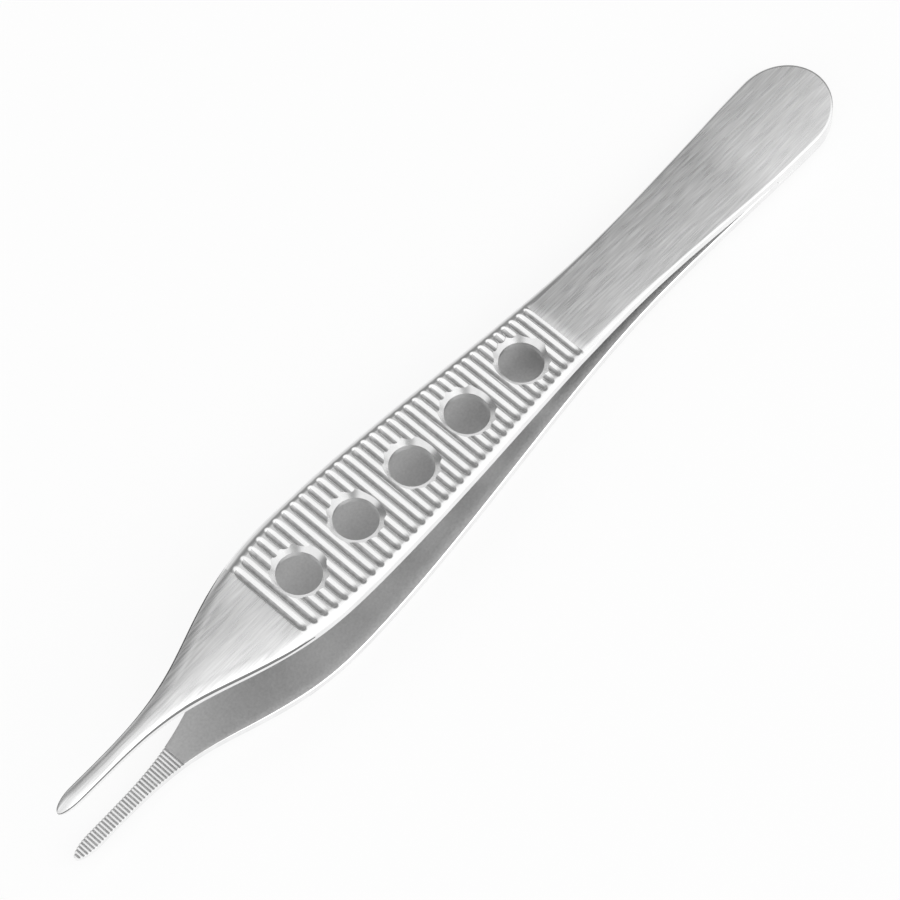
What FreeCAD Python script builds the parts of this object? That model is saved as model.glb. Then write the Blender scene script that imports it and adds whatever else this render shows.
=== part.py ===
import FreeCAD, Part
import math
import os

# Thumb forceps for dressings: two sprung steel limbs, pressed from strip, laid face to face and
# welded round the butt. The upper limb has a ridged grip with five countersunk holes, the lower
# limb the same grip without holes, and both tips carry fine cross serrations on their inner faces.
#
# Millimetres. A limb is shaped in its own frame: X runs from the butt end to the tip, Y across
# the limb, and Z away from the plane where the two limbs meet. The pair is then turned and set
# down as it lies on a table, on the lower limb's butt and the swell of its grip, with the origin
# under the middle of the whole.

# Lengths along the limb
length = 120.0            # butt end to tip end
butt_round = 6.3          # rounded end of the butt
seam_length = 13.0        # stretch where the two limbs lie face to face
butt_to_waist = 26.0      # rounded end to the narrowest place behind the grip
waist_rear_span = 8.0     # waist back to where the butt starts to narrow
waist_to_mid = 18.0       # waist to the rear third of the grip
tip_span = 6.0            # tip end back to the end of the parallel tip
shank_span = 6.0          # there back to the slim shank
neck_span = 6.0           # shank back to the neck
flare_span = 6.0          # neck back to the middle of the flare
shoulder_span = 8.0       # flare back to the grip's front shoulder
grip_span = 8.5           # shoulder back to the grip's widest place
nose_round = 1.3          # rounded end of the tip

# Full widths at those places
butt_width = 10.9
butt_rear_width = 9.3
waist_width = 8.7
mid_width = 10.15
grip_width = 13.65
shoulder_width = 12.7
flare_width = 8.4
neck_width = 4.3
shank_width = 2.15
tip_width = 1.7

# Thickness of a limb
strip_thickness = 1.45    # as rolled, from the butt to the shoulder
shank_thickness = 1.25
tip_thickness = 1.05
nose_thickness = 0.5      # left at the very end of the tip, where the outer face rounds down

# Side view: straight runs joined by four bends. The angles are degrees off the meeting plane that
# a bend leaves behind. The grip bend's angle follows: it leaves the foot, a flat stretch of the
# grip, in line with the butt end, so that the forceps lies still on the two.
seam_bend_radius = 60.0   # starts where the seam ends
rear_angle = 4.3
waist_bend_at = 34.0
waist_bend_radius = 400.0
grip_angle = 5.3
grip_bend_back = 9.5      # starts this far behind the grip's widest place
grip_bend_radius = 220.0
foot_length = 8.0
shoulder_bend_radius = 220.0   # starts where the foot ends
tip_angle = 1.5

# Rounded outer border: its width in plan and its drop at the flank
butt_border = 0.22
butt_border_drop = 0.2
mid_border = 0.75
mid_border_drop = 0.45
grip_border = 0.95
grip_border_drop = 0.6
flare_border = 1.6
flare_border_drop = 0.7
shank_border_share = 0.85   # share of the half width that is rounded on the slim shank and tip
shank_border_drop = 0.6
tip_border_drop = 0.45

# Ridged grip: scalloped grooves across the outer face
groove_count = 36
groove_lead = 0.7         # first groove in front of the shoulder
groove_pitch_front = 1.38
groove_pitch_rear = 1.13
groove_width = 1.0
groove_depth = 0.27
groove_margin = 0.1       # flat left between a groove's end and the rounded border

# Countersunk holes down the middle of the upper limb's grip
hole_count = 5
hole_lead = 4.4           # first hole behind the first groove
hole_pitch = 8.66
hole_diameter = 5.0
countersink_diameter = 6.4
countersink_depth = 0.65

# Cross serrations on the inner faces of the tips
tooth_count = 34
tooth_pitch = 0.45
tooth_depth = 0.2
tooth_lead = 0.6          # first notch behind the tip end
tooth_land = 0.08         # flat left on each tooth's crest

# Weld round the butt: a flush bead in a V ground along the seam
weld_depth = 0.7
weld_half_height = 0.4

# Construction allowances, not sizes of the object
border_facets = 3         # flats that make up each rounded border
overshoot = 1.0           # how far cutting shapes reach past what they cut
inner_excess = 0.5        # stock below the inner face, trimmed off by the side profile
outer_excess = 0.02       # stock above the outer face, trimmed off too
weld_clearing = 0.1       # how far the weld's V runs on past the flank
end_angles = (9, 20, 34, 50, 70)   # degrees round each end at which a cross-section stands
weld_step = 15            # degrees between the weld outline's points round the butt
angle_tolerance = 1e-9    # radians, within which the foot's slope is found

# Places that follow from the lengths
waist_x = butt_round + butt_to_waist
waist_rear_x = waist_x - waist_rear_span
mid_x = waist_x + waist_to_mid
tip_x = length - tip_span
shank_x = tip_x - shank_span
neck_x = shank_x - neck_span
flare_x = neck_x - flare_span
shoulder_x = flare_x - shoulder_span
grip_x = shoulder_x - grip_span
first_groove_x = shoulder_x + groove_lead
first_hole_x = first_groove_x - hole_lead


def spline_through(pairs, start_slope=None, end_slope=None):
    """Cubic spline through (distance, value) pairs, with the distance as its parameter."""
    points = [FreeCAD.Vector(x, 0, value) for x, value in pairs]
    curve = Part.BSplineCurve()
    if start_slope is None:
        curve.interpolate(Points=points, Parameters=[x for x, value in pairs])
    else:
        curve.interpolate(Points=points, Parameters=[x for x, value in pairs],
                          InitialTangent=FreeCAD.Vector(1, 0, start_slope),
                          FinalTangent=FreeCAD.Vector(1, 0, end_slope), Scale=False)
    return curve


def straight_between(pairs, x):
    """Value at x on the straight runs between (distance, value) pairs, level beyond the ends."""
    if x <= pairs[0][0]:
        return pairs[0][1]
    for (x0, v0), (x1, v1) in zip(pairs, pairs[1:]):
        if x <= x1:
            return v0 + (v1 - v0) * (x - x0) / (x1 - x0)
    return pairs[-1][1]


outline = spline_through([
    (butt_round, butt_width / 2), (waist_rear_x, butt_rear_width / 2), (waist_x, waist_width / 2),
    (mid_x, mid_width / 2), (grip_x, grip_width / 2), (shoulder_x, shoulder_width / 2),
    (flare_x, flare_width / 2), (neck_x, neck_width / 2), (shank_x, shank_width / 2),
    (tip_x, tip_width / 2), (length - nose_round, tip_width / 2)], 0.0, 0.0)

thickness_runs = [(flare_x, strip_thickness), (shank_x, shank_thickness), (tip_x, tip_thickness)]
border_runs = [(waist_x, butt_border), (mid_x, mid_border), (grip_x, grip_border),
               (flare_x, flare_border)]
drop_runs = [(waist_x, butt_border_drop), (mid_x, mid_border_drop), (grip_x, grip_border_drop),
             (flare_x, flare_border_drop), (shank_x, shank_border_drop), (tip_x, tip_border_drop)]


def half_width(x):
    """Half width of a limb in plan: elliptical at both ends, the outline spline between them."""
    if x < butt_round:
        return butt_width / 2 * math.sqrt(1 - (1 - x / butt_round) ** 2)
    if x > length - nose_round:
        return tip_width / 2 * math.sqrt(1 - (1 - (length - x) / nose_round) ** 2)
    return outline.value(x).z


class SidePath:
    """The inner face in side view, as runs of (start, end, slope, centre, turn).

    A straight run has no centre. A bend's turn is its radius, negative where the slope falls.
    """

    def __init__(self, x):
        self.runs = []
        self.x, self.z, self.slope = x, 0.0, 0.0

    def straight_to(self, x):
        """Run on at the present slope as far as x."""
        end = (x, self.z + (x - self.x) * math.tan(self.slope))
        self.runs.append(((self.x, self.z), end, self.slope, None, 0.0))
        self.x, self.z = end

    def bend_to(self, slope, radius):
        """Turn to a new slope on an arc."""
        turn = radius if slope > self.slope else -radius
        centre = (self.x - turn * math.sin(self.slope), self.z + turn * math.cos(self.slope))
        end = (centre[0] + turn * math.sin(slope), centre[1] - turn * math.cos(slope))
        self.runs.append(((self.x, self.z), end, self.slope, centre, turn))
        self.x, self.z, self.slope = end[0], end[1], slope

    def slope_back_to_butt(self, radius):
        """Slope at which a flattening bend that starts here points straight back at x = 0."""
        low, high = 0.0, self.slope
        while high - low > angle_tolerance:
            slope = (low + high) / 2
            x = self.x + radius * (math.sin(self.slope) - math.sin(slope))
            z = self.z + radius * (math.cos(slope) - math.cos(self.slope))
            low, high = (slope, high) if z > x * math.tan(slope) else (low, slope)
        return low


def side_path():
    """The inner face from behind the butt to past the tip, and the slope of its foot."""
    path = SidePath(-overshoot)
    path.straight_to(seam_length)
    path.bend_to(math.radians(rear_angle), seam_bend_radius)
    path.straight_to(waist_bend_at)
    path.bend_to(math.radians(grip_angle), waist_bend_radius)
    path.straight_to(grip_x - grip_bend_back)
    foot_slope = path.slope_back_to_butt(grip_bend_radius)
    path.bend_to(foot_slope, grip_bend_radius)
    path.straight_to(path.x + foot_length)
    path.bend_to(math.radians(tip_angle), shoulder_bend_radius)
    path.straight_to(length + overshoot)
    return path.runs, foot_slope


inner_runs, foot_slope = side_path()


def inner_height(x):
    """Height of the inner face over the meeting plane."""
    for start, end, slope, centre, turn in inner_runs:
        if x <= end[0]:
            if centre is None:
                return start[1] + (x - start[0]) * math.tan(slope)
            return centre[1] - math.copysign(math.sqrt(turn ** 2 - (x - centre[0]) ** 2), turn)
    return inner_runs[-1][1][1]


def face_slope(x):
    """Slope of the inner face at x, in radians."""
    for start, end, slope, centre, turn in inner_runs:
        if x <= end[0]:
            return slope if centre is None else math.asin((x - centre[0]) / turn)
    return slope


def thickness(x):
    """Thickness of a limb at x, before its nose is rounded."""
    return straight_between(thickness_runs, x)


def outer_height(x):
    """Height of the outer face over the meeting plane."""
    return inner_height(x) + thickness(x)


def section(x):
    """Cross-section of the stock at x: upright flanks, and rounded borders cut into flats.

    It stands a little proud of both faces, which the side profile then trims.
    """
    half = half_width(x)
    border = min(straight_between(border_runs, x), shank_border_share * half)
    drop = straight_between(drop_runs, x)
    turn = [math.pi / 2 * i / border_facets for i in range(border_facets + 1)]
    side = [(half - border * (1 - math.cos(a)), outer_height(x) - drop * (1 - math.sin(a)))
            for a in turn]
    (y0, z0), (y1, z1) = side[-2:]
    spare = min(outer_excess, y1 / 2 * (z1 - z0) / (y0 - y1))
    side[-1] = (y1 - spare * (y0 - y1) / (z1 - z0), z1 + spare)
    base = inner_height(x) - inner_excess
    ring = [(-half, base), (half, base)] + side + [(-y, z) for y, z in reversed(side)]
    return Part.makePolygon([FreeCAD.Vector(x, y, z) for y, z in ring + ring[:1]])


def stations():
    """Distances of the cross-sections: the landmarks, the middles between them, and the ends."""
    marks = [waist_rear_x, waist_x, mid_x, grip_x, shoulder_x, flare_x, neck_x, shank_x, tip_x,
             length - nose_round]
    middles = [(a + b) / 2 for a, b in zip(marks, marks[1:])]
    bend_start, bend_end = inner_runs[1][0][0], inner_runs[1][1][0]
    rear = [butt_round, (butt_round + bend_start) / 2, bend_start, (bend_start + bend_end) / 2,
            bend_end]
    turn = [math.radians(angle) for angle in end_angles]
    butt_end = [butt_round * (1 - math.cos(a)) for a in turn]
    nose = [length - nose_round * (1 - math.cos(a)) for a in turn]
    return sorted(butt_end + rear + marks + middles + nose)


def side_profile():
    """The limb seen from the side, between its two faces, wider than the widest limb."""
    reach = grip_width + butt_width

    def at(x, z):
        return FreeCAD.Vector(x, -reach, z)

    def edge(start, end, centre, rise):
        if centre is None:
            return Part.makeLine(at(start[0], start[1] + rise), at(end[0], end[1] + rise))
        halfway = (start[0] + end[0]) / 2
        return Part.Arc(at(start[0], start[1] + rise), at(halfway, inner_height(halfway) + rise),
                        at(end[0], end[1] + rise)).toShape()

    inner = [edge(start, end, centre, 0.0) for start, end, slope, centre, turn in inner_runs]
    outer = [edge(start, end, centre, strip_thickness)
             for start, end, slope, centre, turn in inner_runs[:-1]]
    front = [(inner_runs[-1][0][0], outer_height(inner_runs[-1][0][0]))]
    front += [(x, outer_height(x)) for x in (flare_x, shank_x, tip_x, length - nose_round)]
    outer += [Part.makeLine(at(*a), at(*b)) for a, b in zip(front, front[1:])]
    nose_end = (length, inner_height(length) + nose_thickness)
    outer.append(nose_arc(front[-1], nose_end, at))
    corner = (length + overshoot, nose_end[1])
    rear_corner = (-overshoot, strip_thickness)
    closing = [(nose_end, corner), (corner, inner_runs[-1][1]),
               (inner_runs[0][0], rear_corner)]
    edges = inner + outer + [Part.makeLine(at(*a), at(*b)) for a, b in closing]
    wire = Part.Wire(Part.__sortEdges__(edges))
    return Part.Face(wire).extrude(FreeCAD.Vector(0, 2 * reach, 0))


def nose_arc(start, end, at):
    """Arc from start, where it runs on from the tip's outer face, down to the end of the limb."""
    across, down = end[0] - start[0], start[1] - end[1]
    radius = (across ** 2 + down ** 2) / (2 * down)
    middle_x = (start[0] + end[0]) / 2
    middle_z = start[1] - radius + math.sqrt(radius ** 2 - (across / 2) ** 2)
    return Part.Arc(at(*start), at(middle_x, middle_z), at(*end)).toShape()


def limb_blank():
    """The upper limb before its grip, holes and teeth are cut."""
    stock = Part.makeLoft([section(x) for x in stations()], True, False)
    return stock.common(side_profile())


def groove(x):
    """Round-bottomed groove across the outer face at x, ending inside the rounded borders."""
    radius = (groove_width ** 2 / 4 + groove_depth ** 2) / (2 * groove_depth)
    reach = half_width(x) - straight_between(border_runs, x) - groove_margin
    floor = outer_height(x) - groove_depth
    return Part.makeCylinder(radius, 2 * reach, FreeCAD.Vector(x, -reach, floor + radius),
                             FreeCAD.Vector(0, 1, 0))


def groove_places():
    """Groove distances, from the front, with the pitch closing evenly towards the rear."""
    places = [first_groove_x]
    for i in range(groove_count - 1):
        share = i / max(groove_count - 2, 1)
        places.append(places[-1] - groove_pitch_front
                      - (groove_pitch_rear - groove_pitch_front) * share)
    return places


def hole(x):
    """Through hole at x, square to the outer face, with its countersink opening there."""
    flare = (countersink_diameter - hole_diameter) / 2
    rise = overshoot * flare / countersink_depth
    drill = Part.makeCylinder(hole_diameter / 2, strip_thickness + 2 * overshoot,
                              FreeCAD.Vector(0, 0, -strip_thickness - overshoot))
    cone = Part.makeCone(hole_diameter / 2, countersink_diameter / 2 + rise,
                         countersink_depth + overshoot, FreeCAD.Vector(0, 0, -countersink_depth))
    cutter = drill.fuse(cone)
    cutter.rotate(FreeCAD.Vector(0, 0, 0), FreeCAD.Vector(0, -1, 0), math.degrees(face_slope(x)))
    cutter.translate(FreeCAD.Vector(x, 0, outer_height(x)))
    return cutter


def tooth_notch(index):
    """V notch across the inner face of the tip, behind tooth number index."""
    x = length - tooth_lead - index * tooth_pitch
    z = inner_height(x)
    half_mouth = (tooth_pitch - tooth_land) / 2
    spread = half_mouth / tooth_depth
    reach = flare_width
    below = tooth_depth
    corners = [FreeCAD.Vector(x, -reach, z + tooth_depth),
               FreeCAD.Vector(x - spread * (tooth_depth + below), -reach, z - below),
               FreeCAD.Vector(x + spread * (tooth_depth + below), -reach, z - below)]
    face = Part.Face(Part.makePolygon(corners + corners[:1]))
    return face.extrude(FreeCAD.Vector(0, 2 * reach, 0))


def butt_outline(inset, z):
    """Closed outline of the butt at height z, drawn in from the limb's own outline by inset."""
    half = butt_width / 2 - inset
    end = butt_round - inset
    side_x = (seam_length + overshoot, seam_length, (seam_length + butt_round) / 2)
    side = [(x, outline.value(x).z - inset) for x in side_x]
    turn = [math.radians(a) for a in range(90, -91, -weld_step)]
    round_end = [(butt_round - end * math.cos(a), half * math.sin(a)) for a in turn]
    other_side = [(x, -y) for x, y in reversed(side)]
    curve = Part.BSplineCurve()
    curve.interpolate(Points=[FreeCAD.Vector(x, y, z) for x, y in side + round_end + other_side])
    return Part.Wire([curve.toShape(), Part.makeLine(curve.EndPoint, curve.StartPoint)])


def weld_groove():
    """The V ground round the butt along the seam, as the space between two tapered plugs."""
    top = weld_half_height + weld_clearing
    outward = weld_depth * weld_clearing / weld_half_height
    plug = Part.makeLoft([butt_outline(weld_depth, 0), butt_outline(-outward, top)], True, True)
    plug_below = plug.mirror(FreeCAD.Vector(0, 0, 0), FreeCAD.Vector(0, 0, 1))
    slab_top = (weld_half_height + top) / 2
    slab = Part.makeBox(seam_length + overshoot, 2 * butt_width, 2 * slab_top,
                        FreeCAD.Vector(-overshoot, -butt_width, -slab_top))
    return slab.cut(plug).cut(plug_below)


def mirrored(shape):
    """The same shape on the other side of the meeting plane."""
    return shape.mirror(FreeCAD.Vector(0, 0, 0), FreeCAD.Vector(0, 0, 1))


def set_down(shapes):
    """Turn the shapes until the foot lies level, and centre them over the origin on the floor."""
    pitch = math.degrees(foot_slope)
    for shape in shapes.values():
        shape.rotate(FreeCAD.Vector(0, 0, 0), FreeCAD.Vector(0, -1, 0), pitch)
    box = Part.makeCompound(list(shapes.values())).optimalBoundingBox()
    shift = FreeCAD.Vector(-(box.XMin + box.XMax) / 2, -(box.YMin + box.YMax) / 2, -box.ZMin)
    for shape in shapes.values():
        shape.translate(shift)
    return pitch, shift


def build():
    """The upper limb, the lower limb and the weld, as they lie."""
    blank = limb_blank()
    seam = weld_groove()
    grooves = Part.makeCompound([groove(x) for x in groove_places()])
    notches = Part.makeCompound([tooth_notch(i) for i in range(tooth_count)])
    holes = Part.makeCompound([hole(first_hole_x - i * hole_pitch) for i in range(hole_count)])
    limb = blank.cut(seam).cut(notches).cut(grooves)
    half_weld = blank.common(seam)
    weld = half_weld.fuse(mirrored(half_weld)).removeSplitter()
    return {"upper_limb": limb.cut(holes), "lower_limb": mirrored(limb), "butt_weld": weld}


def one_solid(shape):
    """The single solid inside a boolean result."""
    return shape.Solids[0] if len(shape.Solids) == 1 else shape


os.makedirs("parts", exist_ok=True)
pieces = {name: one_solid(shape) for name, shape in build().items()}
pitch, shift = set_down(pieces)
print("pitch %.3f degrees, shift %.3f %.3f %.3f mm" % (pitch, shift.x, shift.y, shift.z))
for name, shape in pieces.items():
    box = shape.optimalBoundingBox()
    print("%s: solids %d, valid %s, volume %.1f mm3, x %.2f..%.2f, y %.2f..%.2f, z %.2f..%.2f" % (
        name, len(shape.Solids), shape.isValid(), shape.Volume,
        box.XMin, box.XMax, box.YMin, box.YMax, box.ZMin, box.ZMax))
    shape.exportStep("parts/" + name + ".step")
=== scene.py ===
"""Thumb forceps: two sprung steel limbs with ridged grips and the weld round their butt.

Sizes are in millimetres and meshes are written in metres. A limb is worked out in its own frame,
with x from the butt end to the tip, y across it and z away from the plane where the limbs meet,
and is then laid down as the solids lie.
"""
import logging
import math
from dataclasses import dataclass, field
from enum import Enum, IntEnum

import bpy
import numpy as np
from mathutils import Euler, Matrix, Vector


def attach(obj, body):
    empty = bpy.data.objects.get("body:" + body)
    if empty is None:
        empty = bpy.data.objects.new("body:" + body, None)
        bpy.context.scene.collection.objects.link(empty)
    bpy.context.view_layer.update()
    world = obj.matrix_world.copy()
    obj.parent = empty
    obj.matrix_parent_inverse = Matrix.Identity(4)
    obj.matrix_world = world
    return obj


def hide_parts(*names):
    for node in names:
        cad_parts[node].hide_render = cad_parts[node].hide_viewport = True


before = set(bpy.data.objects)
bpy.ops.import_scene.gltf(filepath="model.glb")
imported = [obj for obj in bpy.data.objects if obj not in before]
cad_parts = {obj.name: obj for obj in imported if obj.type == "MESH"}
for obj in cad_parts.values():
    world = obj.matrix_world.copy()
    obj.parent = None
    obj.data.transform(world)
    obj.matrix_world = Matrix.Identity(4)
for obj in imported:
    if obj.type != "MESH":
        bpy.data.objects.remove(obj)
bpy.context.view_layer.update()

log = logging.getLogger("forceps")
Array = np.ndarray
Number = np.ndarray | float
Socket = bpy.types.NodeSocket

METRE = 0.001
MAP_UNIT = 0.01         # the finishes' map has 100 mm to its unit
TINY = 1e-6             # a half width or a change of slope below this is none
STATION_DIGITS = 3      # decimals of a millimetre that tell two stations apart
JOIN_SCALE = 1e5        # points that agree to a hundred-thousandth of a millimetre are joined
SHARP_ANGLE = 38.0
FOOT_ANGLE = 3.886      # slope of the grip's flat foot, on which the forceps lie level
SEAM_STEP = 0.01        # the weld's V runs out this far to each side of the seam's end
ROUND_END = np.radians(np.arange(0.0, 90.1, 3.0))


class Side(Enum):
    """Which limb of the pair."""
    UPPER = 1.0
    LOWER = -1.0


class Zone(IntEnum):
    """The finishes on a limb, as material numbers."""
    SATIN = 0
    RIDGES = 1
    EDGE = 2
    BLASTED = 3
    CONE = 4
    # painted dark reflection along the top of the shank's flank
    CREASE = 5
    # painted shade in the groove bottoms and on the notch walls that face the butt
    TROUGH = 6


def smooth_step(low: float, high: float, x: Number) -> Array:
    """Cubic ramp from 0 at low to 1 at high.

    Args:
        low: Value where the ramp starts.
        high: Value where it ends.
        x: Values to ramp.

    Returns:
        3 t squared less 2 t cubed, with t the share of the way from low to high.
    """
    t = np.clip((x - low) / (high - low), 0.0, 1.0)
    return t * t * (3.0 - 2.0 * t)


def even_steps(start: Number, end: Number, count: int) -> Array:
    """Evenly spaced values as columns.

    Args:
        start: First value of each row.
        end: Last value of each row.
        count: How many columns.

    Returns:
        Start plus the way to the end times shares that grow evenly from 0 to 1.
    """
    return start + (end - start) * np.linspace(0.0, 1.0, count)[None, :]


@dataclass(frozen=True)
class Profile:
    """A size that changes along the limb, straight between places."""
    places: tuple[float, ...]
    sizes: tuple[float, ...]

    def at(self, x: Array) -> Array:
        """The size at x, held even beyond the first and the last place."""
        return np.interp(x, self.places, self.sizes)


@dataclass(frozen=True)
class RestPose:
    """How the limbs' own frame lies on the floor."""
    pitch: float = FOOT_ANGLE
    shift: tuple[float, float, float] = (-60.092, 0.0, 1.447)

    def lay_down(self, x: Array, y: Array, z: Array) -> Array:
        """Points of the limb frame, in metres as they lie.

        Args:
            x: Distances from the butt end.
            y: Distances across.
            z: Heights over the meeting plane.

        Returns:
            The points turned up by the pitch about y and shifted, one row each.
        """
        a = math.radians(self.pitch)
        turned = np.stack([x * math.cos(a) - z * math.sin(a), y,
                           x * math.sin(a) + z * math.cos(a)], axis=-1)
        return (turned + np.array(self.shift)) * METRE


@dataclass(frozen=True)
class LimbOutline:
    """Plan of a limb: rounded butt, waist, broad grip, slim shank and tip.

    Attributes:
        start: Place of the butt end.
        length: Place of the tip's end.
        butt_round: Where the butt's quarter ellipses end.
        butt_width: Width there.
        nose_round: Length of the tip's quarter ellipses.
        tip_width: Width where they start.
        places: Places that the spline runs through.
        widths: Widths at those places.
        butt_turn: Where the way out of the outline turns from square to it to straight across.
        nose_turn: Where it turns back.
        slope_step: Step over which the outline's slope is measured.
    """
    start: float = 0.08
    length: float = 119.98
    butt_round: float = 6.3
    butt_width: float = 10.9
    nose_round: float = 2.8
    tip_width: float = 1.75
    places: tuple[float, ...] = (6.3, 24.3, 32.3, 50.3, 79.5, 88.0, 96.0, 102.0, 108.0, 114.0,
                                 117.18)
    widths: tuple[float, ...] = (10.9, 9.3, 8.7, 10.15, 13.648, 12.7, 8.4, 4.3, 2.15, 1.75, 1.75)
    butt_turn: tuple[float, float] = (9.0, 14.0)
    nose_turn: tuple[float, float] = (117.3, 118.6)
    slope_step: float = 1e-4

    def bend_moments(self) -> Array:
        """Second derivatives of the cubic spline through the half widths, level at both ends.

        Returns:
            One value per place, from the usual three-term equations of a clamped spline.
        """
        x, v = np.array(self.places), np.array(self.widths) / 2.0
        h, slope = np.diff(x), np.diff(v) / np.diff(x)
        count = len(x)
        system, right = np.zeros((count, count)), np.zeros(count)
        inner = np.arange(1, count - 1)
        system[inner, inner - 1], system[inner, inner + 1] = h[:-1], h[1:]
        system[inner, inner] = 2.0 * (h[:-1] + h[1:])
        right[inner] = 6.0 * (slope[1:] - slope[:-1])
        system[0, :2], right[0] = (2.0 * h[0], h[0]), 6.0 * slope[0]
        system[-1, -2:], right[-1] = (h[-1], 2.0 * h[-1]), -6.0 * slope[-1]
        return np.linalg.solve(system, right)

    def half_width(self, x: Array) -> Array:
        """Half width at x.

        Args:
            x: Distances along the limb.

        Returns:
            A quarter ellipse at each end and the cubic spline between them.
        """
        place, v, m = np.array(self.places), np.array(self.widths) / 2.0, self.bend_moments()
        i = np.clip(np.searchsorted(place, x) - 1, 0, len(place) - 2)
        h = place[i + 1] - place[i]
        a, b = (place[i + 1] - x) / h, (x - place[i]) / h
        spline = (a * v[i] + b * v[i + 1]
                  + ((a ** 3 - a) * m[i] + (b ** 3 - b) * m[i + 1]) * h * h / 6.0)
        butt = 1.0 - np.clip((x - self.start) / (self.butt_round - self.start), 0.0, 1.0)
        nose = 1.0 - np.clip((self.length - x) / self.nose_round, 0.0, 1.0)
        value = np.where(x < self.butt_round,
                         self.butt_width / 2.0 * np.sqrt(1.0 - butt ** 2), spline)
        return np.where(x > self.length - self.nose_round,
                        self.tip_width / 2.0 * np.sqrt(1.0 - nose ** 2), value)

    def outward(self, x: Array) -> tuple[Array, Array]:
        """Direction out of the outline.

        Args:
            x: Distances along the limb.

        Returns:
            The direction's parts along and across the limb: square to the outline at the two
            rounded ends, straight across between them, and turning smoothly from one to the
            other.
        """
        low = np.clip(x - self.slope_step, self.start, self.length)
        high = np.clip(x + self.slope_step, self.start, self.length)
        rise = self.half_width(high) - self.half_width(low)
        ends = 1.0 - smooth_step(*self.butt_turn, x) + smooth_step(*self.nose_turn, x)
        along, across = -rise * ends, high - low
        size = np.hypot(along, across)
        return along / size, across / size

    def butt_stations(self) -> Array:
        """Places that draw the rounded butt by even angles."""
        return self.start + (self.butt_round - self.start) * (1.0 - np.cos(ROUND_END))

    def nose_stations(self) -> Array:
        """Places that draw the rounded nose by even angles."""
        return self.length - self.nose_round * (1.0 - np.cos(ROUND_END[::2]))

    def nose_share(self, x: Array) -> Array:
        """Share of the way from the start of the rounded nose to its end."""
        return np.clip((x - (self.length - self.nose_round)) / self.nose_round, 0.0, 1.0)


@dataclass(frozen=True)
class LimbBow:
    """Side view of a limb: straight runs and bends of the inner face, and the thickness.

    Attributes:
        seam_length: How far from the butt end the limbs lie face to face.
        seam_radius: Radius of the bend at the seam's end.
        rear_angle: Slope of the straight run behind the waist, in degrees.
        waist_place: Where the waist's bend starts.
        waist_radius: Its radius.
        grip_angle: Slope of the grip, in degrees.
        grip_place: Where the grip's straight run ends.
        grip_radius: Radius of the bends behind and in front of the foot.
        foot_angle: Slope of the flat foot, in degrees.
        foot_length: Its length.
        tip_angle: Slope of the straight run to the tip, in degrees.
        last_place: A place beyond the tip, up to which that run is drawn.
        thickness: Thickness along the limb.
    """
    seam_length: float = 13.0
    seam_radius: float = 60.0
    rear_angle: float = 4.3
    waist_place: float = 34.0
    waist_radius: float = 400.0
    grip_angle: float = 5.3
    grip_place: float = 70.0
    grip_radius: float = 220.0
    foot_angle: float = FOOT_ANGLE
    foot_length: float = 8.0
    tip_angle: float = 1.5
    last_place: float = 121.0
    thickness: Profile = Profile((96.0, 108.0, 114.0), (1.45, 1.25, 1.05))

    def knots(self) -> tuple[Array, Array]:
        """Where the slope changes, and the sine of the slope there.

        Returns:
            Places and sines. Along an arc the sine of the slope grows evenly with x.
        """
        seam_sine, grip_sine, foot_sine, tip_sine = [
            math.sin(math.radians(a)) for a in (self.rear_angle, self.grip_angle,
                                                self.foot_angle, self.tip_angle)]
        foot_start = self.grip_place + self.grip_radius * (grip_sine - foot_sine)
        foot_end = foot_start + self.foot_length
        places = [0.0, self.seam_length, self.seam_length + self.seam_radius * seam_sine,
                  self.waist_place, self.waist_place + self.waist_radius * (grip_sine - seam_sine),
                  self.grip_place, foot_start, foot_end,
                  foot_end + self.grip_radius * (foot_sine - tip_sine), self.last_place]
        sines = [0.0, 0.0, seam_sine, seam_sine, grip_sine, grip_sine, foot_sine, foot_sine,
                 tip_sine, tip_sine]
        return np.array(places), np.array(sines)

    def slope_sine(self, x: Array) -> Array:
        """Sine of the slope at x: even runs between the knots."""
        return np.interp(x, *self.knots())

    def rise(self, start: Array, start_sine: Array, end: Array, end_sine: Array) -> Array:
        """Rise of runs, each straight or an arc.

        Args:
            start: Places where the runs start.
            start_sine: Sines of the slope there.
            end: Places where the runs end.
            end_sine: Sines of the slope there.

        Returns:
            For a straight run its length times the tangent. For an arc its radius, which is the
            length over the gain in sine, times the fall in cosine.
        """
        curved = np.abs(end_sine - start_sine) > TINY
        gain = np.where(curved, end_sine - start_sine, 1.0)
        start_cosine, end_cosine = np.sqrt(1 - start_sine ** 2), np.sqrt(1 - end_sine ** 2)
        arc = (end - start) / gain * (start_cosine - end_cosine)
        return np.where(curved, arc, (end - start) * start_sine / start_cosine)

    def inner(self, x: Array) -> Array:
        """Height of the inner face over the meeting plane.

        Args:
            x: Distances along the limb.

        Returns:
            The rise of every whole run before x, and of the part of its own run up to x.
        """
        places, sines = self.knots()
        at = np.clip(np.searchsorted(places, x) - 1, 0, len(places) - 2)
        whole = self.rise(places[:-1], sines[:-1], places[1:], sines[1:])
        base = np.concatenate([[0.0], np.cumsum(whole)])
        return base[at] + self.rise(places[at], sines[at], x, self.slope_sine(x))


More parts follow.
